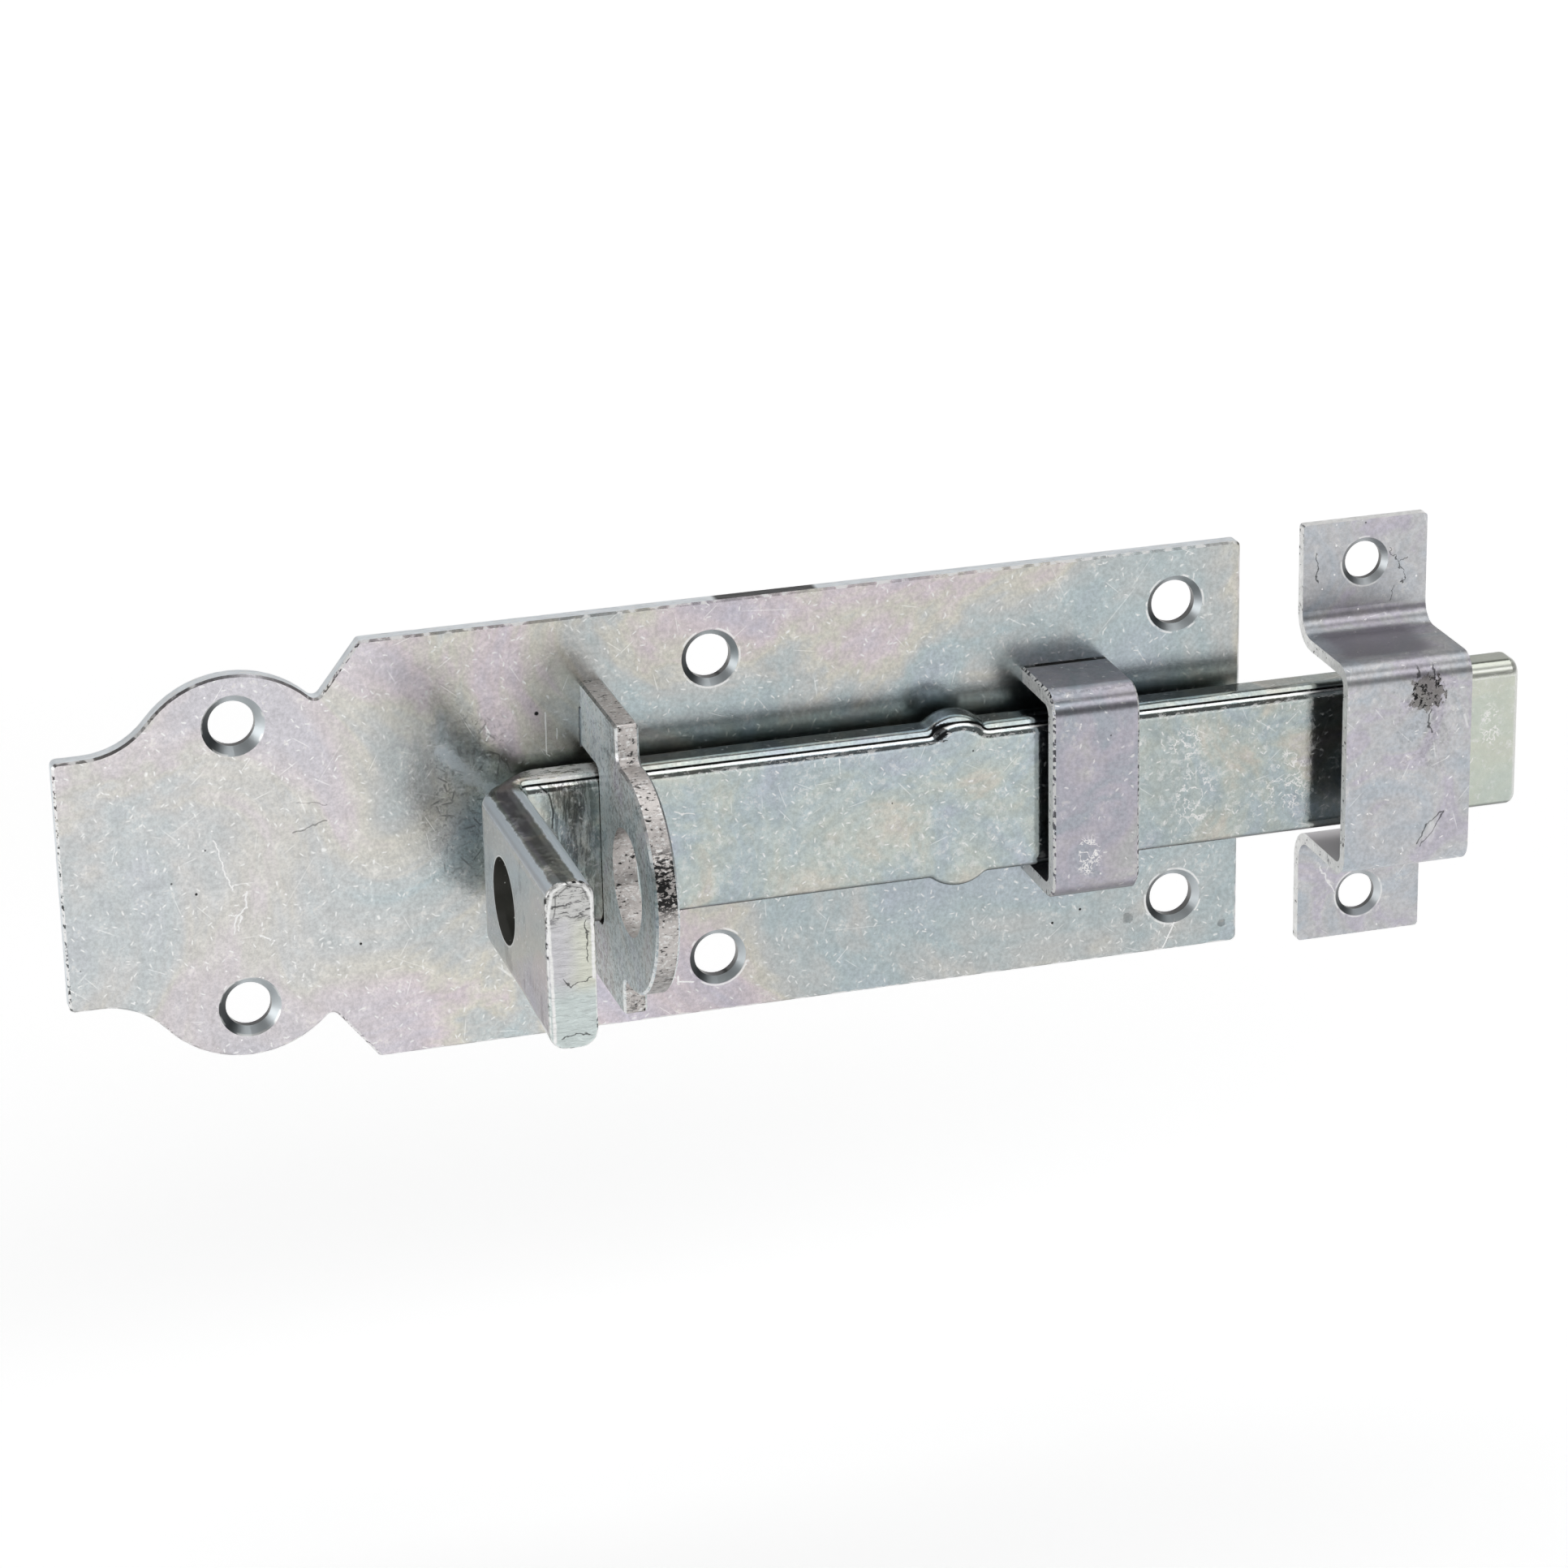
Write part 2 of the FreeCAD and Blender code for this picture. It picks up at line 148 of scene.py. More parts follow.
class Shader:
    """A material or a world under construction."""

    def __init__(self, owner):
        owner.use_nodes = True
        self.owner = owner
        self.tree = owner.node_tree
        self.tree.nodes.clear()

    def node(self, kind, settings=None, inputs=None, output=0):
        made = self.tree.nodes.new(kind)
        for name, value in (settings or {}).items():
            if name == "stops":
                ramp = made.color_ramp
                ramp.elements.remove(ramp.elements[1])
                for number, (place, colour) in enumerate(value):
                    stop = ramp.elements[0] if number == 0 else ramp.elements.new(place)
                    stop.position = place
                    stop.color = colour
            else:
                setattr(made, name, value)
        for name, value in (inputs or {}).items():
            if isinstance(value, Signal):
                self.tree.links.new(value.socket, made.inputs[name])
            else:
                made.inputs[name].default_value = value
        return Signal(self, made.outputs[output]) if made.outputs else None

    def rise(self, value, low, high):
        """0 below low, 1 above high, smooth between."""
        return self.node("ShaderNodeMapRange", {"interpolation_type": "SMOOTHSTEP"},
                         {0: value, 1: low, 2: high, 3: 0.0, 4: 1.0})

    def fall(self, value, low, high):
        """1 below low, 0 above high, smooth between."""
        return self.node("ShaderNodeMapRange", {"interpolation_type": "SMOOTHSTEP"},
                         {0: value, 1: low, 2: high, 3: 1.0, 4: 0.0})

    def band(self, value, low, high, soft):
        """1 between low and high, 0 outside."""
        return self.rise(value, low - soft, low + soft) * self.fall(value, high - soft, high + soft)

    def blend(self, amount, first, second):
        """Mixes two colours."""
        return self.node("ShaderNodeMix", {"data_type": "RGBA"}, {0: amount, 6: first, 7: second}, 2)

    def tone(self, colour, value):
        """A colour made lighter or darker by a number."""
        grey = self.node("ShaderNodeCombineColor", {}, {0: value, 1: value, 2: value})
        return self.node("ShaderNodeMix", {"data_type": "RGBA", "blend_type": "MULTIPLY"},
                         {0: 1.0, 6: colour, 7: grey}, 2)

    def vector(self, operation, first, second=(0.0, 0.0, 0.0), output=0):
        return self.node("ShaderNodeVectorMath", {"operation": operation}, {0: first, 1: second}, output)

    def scaled(self, vector, number):
        return self.node("ShaderNodeVectorMath", {"operation": "SCALE"}, {0: vector, 3: number})

    def parts(self, vector):
        made = self.node("ShaderNodeSeparateXYZ", {}, {0: vector}).socket.node
        return [Signal(self, socket) for socket in made.outputs]

    def finish(self, kind, surface):
        self.node(kind, {}, {"Surface": surface})
        return self.owner


class Plating(Shader):
    """Zinc plating on one piece, in millimetres of the piece's own frame."""

    def __init__(self, name, drift):
        super().__init__(bpy.data.materials.new(name))
        self.drift = Vector((drift, drift * 0.7, -drift))
        self.spot = self.scaled(self.node("ShaderNodeTexCoord", output="Object"), 1.0 / MILLIMETRE)
        self.x, self.y, self.z = self.parts(self.spot)
        self.nx, self.ny, self.nz = self.parts(self.node("ShaderNodeTexCoord", output="Normal"))
        self.flat = self.vector("MULTIPLY", self.spot, (1.0, 0.0, 1.0))
        self.front = self.fall(self.ny, -0.85, -0.6)
        waver = self.node("ShaderNodeTexNoise", {}, {"Vector": self.moved(9), "Scale": 0.9, "Detail": 3.0}, 1)
        self.waver = self.node("ShaderNodeVectorMath", {"operation": "MULTIPLY_ADD"},
                               {0: waver, 1: (4.0, 0.0, 4.0), 2: (-2.0, 0.0, -2.0)})
        self.colour = self.rough = self.height = None
        self.metal = 1.0

    def moved(self, seed, stretch=EVEN):
        """The piece's millimetres, stretched and set off so that no two patterns agree."""
        shift = self.drift + SEED_STEP * seed
        return self.node("ShaderNodeVectorMath", {"operation": "MULTIPLY_ADD"},
                         {0: self.spot, 1: stretch, 2: tuple(shift)})

    def clouds(self, size, seed, detail=2.0, rough=0.5, warp=0.0, stretch=EVEN):
        """Soft noise of one size in millimetres."""
        return self.node("ShaderNodeTexNoise", {}, {
            "Vector": self.moved(seed, stretch), "Scale": 1.0 / size, "Detail": detail,
            "Roughness": rough, "Distortion": warp})

    def cells(self, size, seed):
        """Scattered seeds: distance to the nearest, its three random numbers, and the way to it."""
        here = self.moved(seed)
        made = self.node("ShaderNodeTexVoronoi", {}, {"Vector": here, "Scale": 1.0 / size}).socket.node
        away, chance, seat = (Signal(self, made.outputs[name]) for name in ("Distance", "Color", "Position"))
        return away * size, chance, self.vector("SUBTRACT", here, seat)

    def scratches(self, size, width, reach, share, seed):
        """Short straight scratches in every direction, in a share of the cells."""
        away, chance, offset = self.cells(size, seed)
        across = self.vector("NORMALIZE", self.vector("SUBTRACT", chance, (0.5, 0.5, 0.5)))
        line = abs(self.vector("DOT_PRODUCT", offset, across, output="Value"))
        chosen = self.fall(self.parts(chance)[1], share, share + 0.02)
        return self.fall(line, width * 0.3, width) * self.fall(away, reach * 0.4, reach) * chosen

    def specks(self, size, radius, share, seed):
        """Small round marks in a share of the cells."""
        away, chance = self.cells(size, seed)[:2]
        return self.fall(away, radius * 0.5, radius) * self.fall(self.parts(chance)[0], share, share + 0.02)

    def line(self, places, width, wobble=0.25):
        """A thin wavering line through places (x, z) of a front face."""
        here = self.vector("ADD", self.flat, self.scaled(self.waver, wobble))
        nearest = None
        for (x0, z0), (x1, z1) in zip(places, places[1:]):
            run = Vector((x1 - x0, 0.0, z1 - z0))
            offset = self.vector("SUBTRACT", here, (x0, 0.0, z0))
            along = self.vector("DOT_PRODUCT", offset, tuple(run / run.length_squared), output="Value")
            foot = self.scaled(tuple(run), (along | 0.0) & 1.0)
            away = self.vector("DISTANCE", offset, foot, output="Value")
            nearest = away if nearest is None else nearest & away
        return self.fall(nearest, width * 0.3, width) * self.front

    def marks(self, table):
        """Several lines at once, each given as its places, its width and, if it has its own, its wobble."""
        drawn = 0.0
        for mark in table:
            drawn = self.line(*mark) | drawn
        return drawn

    def beside(self, places):
        """Distance in the face's plane to the nearest of some places (x, z)."""
        nearest = None
        for x, z in places:
            away = self.vector("DISTANCE", self.flat, (x, 0.0, z), output="Value")
            nearest = away if nearest is None else nearest & away
        return nearest

    def cone(self, screws, reach):
        """The countersunk cones of the screw holes, from the distance to their middles."""
        return self.band(abs(self.ny), 0.45, 0.88, 0.05) * self.fall(screws, reach, reach + 0.1)

    def wall(self, screws, radius):
        """The walls of the screw holes."""
        return self.fall(abs(self.ny), 0.3, 0.5) * self.fall(screws, radius + 0.1, radius + 0.3)

    def burr(self, screws, inner, outer):
        """A broken ring round each countersink."""
        return self.band(screws, inner, outer, 0.08) * self.rise(self.clouds(2.0, 13), 0.45, 0.55)

    def blot(self, x, z, width, height, ragged, seed, soft=0.3):
        """A ragged patch on a front face: 1 in its middle, 0 outside."""
        shrunk = self.vector("MULTIPLY", self.spot, (1.0 / width, 0.0, 1.0 / height))
        away = self.vector("DISTANCE", shrunk, (x / width, 0.0, z / height), output="Value")
        edge = (self.clouds(1.4, seed, detail=4.0, rough=0.7) - 0.5) * ragged
        return self.fall(away + edge, 1.0 - soft, 1.0) * self.front

    def creep(self, x, z, width, height, seed):
        """Pale threads that crept out of the plating, in a ragged patch of a front face."""
        thread = self.band(self.clouds(1.8, seed, detail=3.0, rough=0.6), 0.482, 0.518, 0.012)
        return thread * self.blot(x, z, width, height, 0.6, seed + 1, soft=0.4)

    def coat(self, stops, film_size, shine, mottle=0.26, grain=0.19, drawn=None, faded=None):
        """The plating itself: film tints, mottling, grain, frost, hair scratches, nicks and pits.

        What is drawn is added to the film's noise before its tints are chosen, and they pale where it is faded.
        """
        film = self.clouds(film_size, 1, detail=5.0, rough=0.6, warp=1.1)
        tint = self.node("ShaderNodeValToRGB", {"stops": stops}, {0: film if drawn is None else film + drawn})
        if faded is not None:
            tint = self.blend(faded, tint, PALE)
        patch = self.clouds(2.6, 2, detail=5.0, rough=0.7, warp=0.4)
        fine = self.rise(self.clouds(0.55, 3, detail=3.0, rough=0.7), 0.34, 0.66)
        light = (1.0 - mottle - 0.5 * grain) + patch * (2.0 * mottle) + fine * grain
        self.colour = self.tone(tint, light)
        frost = self.rise(self.clouds(0.9, 10, detail=3.0, rough=0.7), 0.53, 0.60)
        frost = frost * self.rise(patch, 0.52, 0.62)
        hair = self.scratches(3.6, 0.07, 1.7, 0.35, 4) * 0.40 | self.scratches(11.0, 0.07, 5.0, 0.30, 5) * 0.25
        nicks = self.scratches(1.25, 0.11, 0.42, 0.50, 6) * 0.8 | self.specks(1.6, 0.17, 0.45, 7)
        pits = self.specks(5.5, 0.17, 0.30, 8)
        self.rough = shine + patch * 0.08
        self.height = patch * 0.016 + fine * 0.0015 - hair * 0.008 - pits * 0.03
        self.paint(frost * 0.40, CHALK)
        self.paint(hair, BARE, 0.22)
        self.paint(nicks * 0.9, BRIGHT, 0.20, 0.72)
        self.paint(pits * 0.8, SOOT)

    def paint(self, mask, colour, rough=None, metal=None):
        """Lays a colour, and a roughness and a share of bare metal if given, over what is there."""
        self.colour = self.blend(mask, self.colour, colour)
        if rough is not None:
            self.rough = self.rough + mask * (rough - self.rough)
        if metal is not None:
            self.metal = self.metal + mask * (metal - self.metal)

    def shade(self, mask, amount):
        """Darkens by a share where the mask is."""
        self.colour = self.tone(self.colour, 1.0 - mask * amount)

    def bloom(self, mask, share):
        """Turns a share of the metal to pale matt zinc bloom where the mask is."""
        self.metal = self.metal * (1.0 - mask * share)

    def torn(self, mask, tint, streaks, black, pale, rough=0.45):
        """A sheared edge: torn metal with streaks, black pits and pale crumbs."""
        tear = self.clouds(1.0, 11, detail=3.0, rough=0.7, stretch=streaks)
        crumbs = self.clouds(0.5, 12, detail=2.0, rough=0.6, stretch=streaks)
        metal = self.tone(tint, 0.65 + tear * 0.7)
        metal = self.blend(self.fall(tear * 0.5 + crumbs * 0.5, black, black + 0.06), metal, SOOT)
        metal = self.blend(self.rise(crumbs, pale, pale + 0.08) * 0.8, metal, BARE)
        self.paint(mask, metal, rough, 0.65)
        self.height = self.height + mask * (tear * 0.08 + crumbs * 0.04)

    def done(self):
        """The finished material, with its height in millimetres as bumps."""
        bump = self.node("ShaderNodeBump", {}, {"Strength": 1.0, "Distance": MILLIMETRE, "Height": self.height})
        metal = self.node("ShaderNodeBsdfPrincipled", {}, {
            "Base Color": self.colour, "Metallic": self.metal, "Roughness": self.rough, "Normal": bump})
        return self.finish("ShaderNodeOutputMaterial", metal)


def plate_zinc():
    """Back plate: teal and cream clouds with pink borders, long scratches and a few stains."""
    skin = Plating("back_plate_zinc", 11.0)
    low_right = skin.rise(skin.x, 0.0, 25.0) * skin.fall(skin.z, -14.0, -6.0)
    border = skin.rise(abs(skin.z), 8.0, 26.0) * 0.10 - low_right * 0.15
    skin.coat([(0.32, BLUE), (0.43, TEAL), (0.51, GREY), (0.56, CREAM), (0.62, PINK), (0.72, LILAC)],
              34.0, 0.20, drawn=border, faded=skin.fall(skin.x, -58.0, -30.0) * 0.5)
    low_left = skin.fall(skin.z, -20.0, -9.0) * skin.fall(skin.x, -14.0, -2.0)
    skin.colour = skin.tone(skin.colour, 1.16 - skin.rise(skin.x, -45.0, -20.0) * (1.0 - low_left) * 0.17)
    screws = skin.beside(PLATE_SCREWS)
    outer = skin.rise(screws, PLATE_CONE_RADIUS + 0.4, PLATE_CONE_RADIUS + 0.7)
    cone = skin.cone(screws, PLATE_CONE_RADIUS + 0.2)
    skin.paint(cone, PLATE_CONE, 0.40)
    # Painted shade: the cones darker where they face right, and the hole walls dark.
    skin.shade(cone * skin.rise(skin.nx, 0.05, 0.55), 0.80)
    skin.paint(skin.wall(screws, PLATE_HOLE_RADIUS), DUSK, 0.3)
    skin.paint(skin.burr(screws, PLATE_CONE_RADIUS - 0.15, PLATE_CONE_RADIUS + 0.08) * 0.8, BARE, 0.4)
    skin.torn(skin.fall(abs(skin.ny), 0.30, 0.55) * outer, PLATE_EDGE, (0.4, 1.0, 0.4), 0.20, 0.56, 0.55)
    rim = skin.band(abs(skin.ny), 0.60, 0.85, 0.05) * outer
    tab_end = skin.fall(skin.nx, -0.6, -0.4)
    crumbs = skin.clouds(0.5, 21, detail=2.0)
    skin.paint(rim * skin.rise(crumbs, 0.46, 0.52) * tab_end * 0.9, BARE, 0.4, 0.7)
    # Along the rim, away from the tab's end: a painted dark line and painted highlights in patches.
    rim_shade_and_highlight = skin.clouds(1.8, 45)
    skin.paint(rim * skin.fall(rim_shade_and_highlight, 0.42, 0.56) * (1.0 - tab_end) * 0.38, DUSK)
    skin.paint(rim * skin.rise(rim_shade_and_highlight, 0.52, 0.60) * (1.0 - tab_end) * 0.8, BRIGHT, 0.4, 0.3)
    skin.paint(rim * skin.fall(crumbs, 0.38, 0.46) * tab_end * 0.9, SOOT)
    skin.paint(skin.marks([
        ([(-63.5, 4.0), (-62.9, 2.1), (-61.9, -1.5), (-61.5, -2.6)], 0.14),
        ([(-59.8, -3.3), (-60.0, -5.3), (-61.3, -6.7), (-61.6, -8.4)], 0.17),
        ([(-61.9, -6.2), (-60.5, -6.6), (-60.8, -8.0)], 0.15, 0.5),
        ([(-58.5, -9.1), (-57.1, -10.0)], 0.12),
        ([(-21.3, 15.5), (-21.3, 10.0), (-20.9, 9.7)], 0.13, STRAIGHT),
        ([(-19.9, 13.2), (-19.9, 11.9)], 0.11, STRAIGHT),
        ([(-28.9, 14.6), (-28.6, 13.6), (-29.0, 12.9)], 0.22),
        ([(-5.3, -22.1), (-5.3, -22.8), (-3.3, -23.1)], 0.15, STRAIGHT),
        ([(60.2, -27.3), (62.0, -23.5)], 0.13, STRAIGHT),
    ]), BRIGHT, 0.20, 0.72)
    pits = skin.beside([(-66.0, -2.7), (-45.9, -12.0), (45.0, -21.6), (48.8, -20.2)])
    dark = skin.fall(pits, 0.10, 0.24) | skin.fall(skin.beside([(-22.4, 15.5)]), 0.18, 0.36)
    dark = dark | skin.line([(-53.5, 3.7), (-49.4, 4.9)], 0.12) * 0.5
    dark = dark | skin.line([(-52.8, 7.6), (-49.2, 6.9)], 0.10) * 0.4
    # Painted shadow: this dark line on the plate lies in the gap beside the staple's leg.
    dark = dark | skin.line([(-16.9, 15.6), (-16.95, 10.6)], 0.22, 0.04)
    dark = dark | skin.blot(55.4, -22.4, 0.8, 0.8, 1.6, 32) * 0.35
    dark = dark | skin.blot(68.4, -24.8, 0.6, 0.6, 1.4, 33) * 0.4
    skin.paint(dark, SOOT, 0.4)
    # Scuffs, grit and scratches left of the handle, in a patch that is also darkened as a painted reflection of
    # the handle.
    scuffs_and_painted_handle_reflection = skin.blot(-31.0, 4.5, 7.5, 15.0, 1.4, 36, soft=0.5)
    grit = skin.fall(skin.clouds(0.55, 14, detail=3.0, rough=0.8), 0.42, 0.48) * 0.45
    skin.shade(scuffs_and_painted_handle_reflection, 0.10)
    skin.paint(scuffs_and_painted_handle_reflection * (grit | skin.scratches(1.5, 0.14, 1.2, 0.8, 15) * 0.7), DUSK)
    # Painted reflection: a pale blue curved glow on the plate beside the handle's bend.
    painted_bend_reflection = skin.line([(-34.5, 12.1), (-31.0, 8.4), (-27.5, 5.2), (-24.0, 2.8)], 1.3, 0.5)
    skin.paint(painted_bend_reflection * 0.45, PAINTED_REFLECTION_BLUE, 0.40, 0.7)
    # Painted shade: a ragged dark band on the plate just above the bolt, standing in for the bolt's dark
    # reflection.
    ragged = (skin.clouds(5.0, 43, detail=4.0, rough=0.7) - 0.5) * 2.0
    painted_shade_above_bolt = skin.fall(abs(skin.z - 10.2) + ragged, 1.2, 4.2) * skin.rise(skin.z, 8.0, 9.0)
    skin.shade(painted_shade_above_bolt * skin.rise(skin.x, -22.0, -14.0) * skin.front, 0.30)
    stained_top = skin.rise(skin.nz, 0.8, 0.9) * skin.band(skin.x, 1.0, 14.0, 0.4)
    skin.paint(stained_top, SOOT, 0.3)
    return skin.done()


def staple_zinc():
    """Staple: pearly flats, torn edges with streaks across the sheet."""
    skin = Plating("staple_zinc", 53.0)
    skin.coat([(0.34, BLUE), (0.46, TEAL), (0.56, GREY), (0.66, LILAC)], 14.0, 0.30, mottle=0.30, grain=0.40)
    facing = skin.rise(abs(skin.nx), 0.7, 0.9)
    leg = skin.rise(skin.y, -17.0, -12.0) * skin.rise(skin.z, 0.0, 4.0)
    skin.colour = skin.tone(skin.colour, 1.0 + facing * 0.35 + facing * leg * 0.60)
    skin.bloom(facing, 0.65)
    pearl = skin.clouds(0.7, 44, detail=4.0, rough=0.8) + leg * 0.02
    skin.paint(facing * skin.rise(pearl, 0.50, 0.56) * 0.8, PEARL, 0.5, 0.15)
    skin.paint(facing * skin.fall(pearl, 0.41, 0.46) * 0.5, DUSK, 0.4)
    edge = skin.fall(abs(skin.nx), 0.30, 0.60)
    lower = skin.fall(skin.z, -9.5, -7.0)
    skin.torn(edge, STAPLE_EDGE, (0.8, 1.3, 1.3), 0.38, 0.56, 0.36)
    streaks = skin.clouds(0.55, 23, detail=3.0, rough=0.7, stretch=(0.6, 1.2, 1.2))
    pitted = skin.band(skin.z, 0.5, 8.0, 1.5) * skin.fall(skin.y, -31.0, -28.5)
    skin.paint(edge * pitted * skin.fall(streaks, 0.49, 0.54), SOOT)
    skin.paint(edge * lower * skin.fall(streaks, 0.42, 0.47) * 0.6, SOOT)
    # Painted shade on the edges that face down.
    skin.shade(skin.fall(skin.nz, -0.75, -0.35) * edge, 0.45)
    skin.paint(skin.band(abs(skin.nx), 0.60, 0.80, 0.05) * skin.rise(streaks, 0.42, 0.50) * 0.6, BARE, 0.4)
    return skin.done()


def strap_zinc():
    """Strap: mauve front, bloomed top, crumbled edges, a dark line where its foot meets the plate."""
    skin = Plating("strap_zinc", 97.0)
    skin.coat([(0.34, BLUE), (0.45, STRAP_BLUE), (0.53, LILAC), (0.62, MAUVE), (0.74, GREY)],
              9.0, 0.25, mottle=0.15)
    skin.colour = skin.tone(skin.colour, 0.88)
    edge = skin.rise(abs(skin.nx), 0.75, 0.92)
    skin.torn(edge, BARE, EVEN, 0.38, 0.56, 0.55)
    rim = skin.band(abs(skin.nx), 0.40, 0.80, 0.05)
    crumbs = skin.clouds(0.6, 24, detail=2.0)
    skin.paint((rim | edge) * skin.rise(crumbs, 0.44, 0.52) * 0.95, BRIGHT, 0.5, 0.1)
    skin.paint(rim * skin.fall(crumbs, 0.40, 0.46) * 0.8, SOOT)
    skin.bloom(skin.rise(skin.nz, 0.90, 0.97), 0.30)
    # Painted shade: the bends a little darker, the undersides darker, and a broken dark line across the upper
    # bend.
    skin.shade(skin.band(skin.nz, 0.22, 0.90, 0.1), 0.15)
    skin.shade(skin.fall(skin.nz, -0.75, -0.30), 0.60)
    skin.shade(skin.band(skin.nz, 0.86, 0.93, 0.03) * skin.rise(crumbs, 0.42, 0.52), 0.3)
    foot = skin.rise(skin.y, -2.6, -2.3) * skin.rise(skin.nz, 0.8, 0.9)
    skin.paint(foot, SOOT)
    skin.paint(skin.creep(45.6, -7.8, 2.2, 3.2, 54) * 0.85, CREEP, 0.25, 0.8)
    return skin.done()


def bolt_zinc():
    """Bolt: teal bar with a greenish tip, painted highlights and painted dark reflection lines on the rolls,
    chalky creep and a sheared handle end.
    """
    skin = Plating("bolt_zinc", 151.0)
    skin.coat([(0.33, BLUE), (0.43, TEAL), (0.52, BOLT_GREEN), (0.60, CREAM), (0.70, LILAC)], 17.0, 0.08)
    skin.paint(skin.rise(skin.x, 95.0, 99.0) * 0.65, TIP_GREEN)
    skin.shade(skin.rise(skin.x, 52.0, 56.0) * skin.fall(skin.x, 92.0, 97.0), 0.10)
    crumbs = skin.clouds(0.6, 25, detail=3.0, rough=0.7, stretch=(0.4, 1.0, 1.0))
    bar = skin.fall(skin.ny, -0.5, -0.4)
    # Painted highlights on the rolled top edge, and a painted dark reflection line between them that fades at the
    # tip.
    skin.paint(skin.band(skin.nz, 0.50, 0.61, 0.02) * bar * skin.rise(crumbs, 0.36, 0.44), BARE, 0.3)
    skin.paint(skin.band(skin.nz, 0.10, 0.36, 0.06) * bar * skin.rise(crumbs, 0.52, 0.58) * 0.8, BARE, 0.4)
    tip = skin.rise(skin.x, 94.0, 97.0)
    skin.paint(skin.band(skin.nz, 0.63, 0.74, 0.015) * bar * (1.0 - tip * 0.8), SOOT)
    skin.paint(skin.band(skin.nz, 0.15, 0.9, 0.1) * tip * 0.6, TIP_ROLLED, 0.4, 0.6)
    # Painted shade on the undersides.
    skin.shade(skin.fall(skin.nz, -0.80, -0.45), 0.85)
    pinched = skin.beside([SWAGE]) * 0.7 + (crumbs - 0.5) * 3.0
    skin.paint(skin.fall(pinched, 0.5, 0.8) * skin.fall(skin.ny, -0.3, -0.1) * 0.9, SOOT)
    chalk = skin.marks([([(-7.3, 3.3), (-4.8, 2.8)], 0.12), ([(98.4, -5.2), (99.8, -3.0)], 0.16)])
    chalk = chalk | skin.creep(60.2, 4.0, 2.8, 2.6, 46) | skin.creep(61.4, -3.2, 3.4, 4.6, 48)
    chalk = chalk | skin.creep(74.2, -2.6, 4.0, 5.0, 50) | skin.creep(102.2, 1.0, 1.6, 4.4, 52)
    skin.paint(chalk * 0.7, CREEP, 0.25, 0.8)
    smear = skin.clouds(0.9, 29, detail=4.0, rough=0.75, stretch=(1.6, 1.0, 0.35))
    near_bend = skin.band(skin.x, -24.0, -17.0, 1.6) * skin.front
    skin.shade(near_bend * skin.rise(smear, 0.42, 0.54), 0.55)
    skin.shade(skin.line([(-24.5, 9.2), (-23.1, 7.7), (-22.7, 5.5), (-22.9, 3.4)], 0.18, STRAIGHT), 0.8)
    mottled = skin.rise(skin.clouds(1.3, 42, detail=5.0, rough=0.8), 0.56, 0.62) * skin.front
    skin.paint(mottled * 0.35, BARE, 0.35, 0.6)

    side = skin.fall(skin.nx, -0.8, -0.5) * skin.fall(skin.y, -9.0, -7.0)
    smudge = skin.clouds(3.0, 30, detail=5.0, rough=0.75, stretch=(1.0, 1.0, 0.5))
    skin.paint(side * skin.rise(smudge, 0.62, 0.70) * 0.5, BARE, 0.4)
    skin.paint(side * 0.35, HANDLE_SIDE, 0.22)
    skin.bloom(side, 0.48)
    skin.paint(side * skin.fall(smudge, 0.36, 0.44) * 0.5, DUSK)
    # Painted highlights on the handle's outer rolled corners.
    outer_top = skin.band(skin.nz, 0.30, 0.75, 0.08) * skin.fall(skin.nx, -0.45, -0.3)
    skin.paint(outer_top * skin.fall(skin.y, -12.0, -9.0) * 0.7, ROLLED_CORNER, 0.35)
    skin.paint(skin.rise(skin.nx, 0.15, 0.5) * skin.rise(skin.x, 100.0, 103.0) * 0.5, BARE, 0.45, 0.5)
    bend_top = skin.rise(skin.nz, 0.74, 0.80) * skin.band(skin.x, -25.0, -16.0, 1.5)
    skin.paint(bend_top * skin.rise(crumbs, 0.36, 0.50) * 0.8, BARE, 0.45, 0.4)
    handle_top = skin.fall(skin.y, -13.0, -10.5) * skin.rise(skin.nz, 0.5, 0.7)
    across = skin.x + (smudge - 0.5) * 0.8
    skin.paint(handle_top * skin.band(across, -31.0, -28.9, 0.25) * skin.rise(smudge, 0.38, 0.52) * 0.8, INK)
    # Painted highlights on the handle top's two rolled edges.
    rolled = skin.fall(across, -31.2, -30.9) | skin.rise(across, -28.3, -27.9)
    skin.paint(rolled * handle_top * 0.9, ROLLED, 0.35, 0.30)

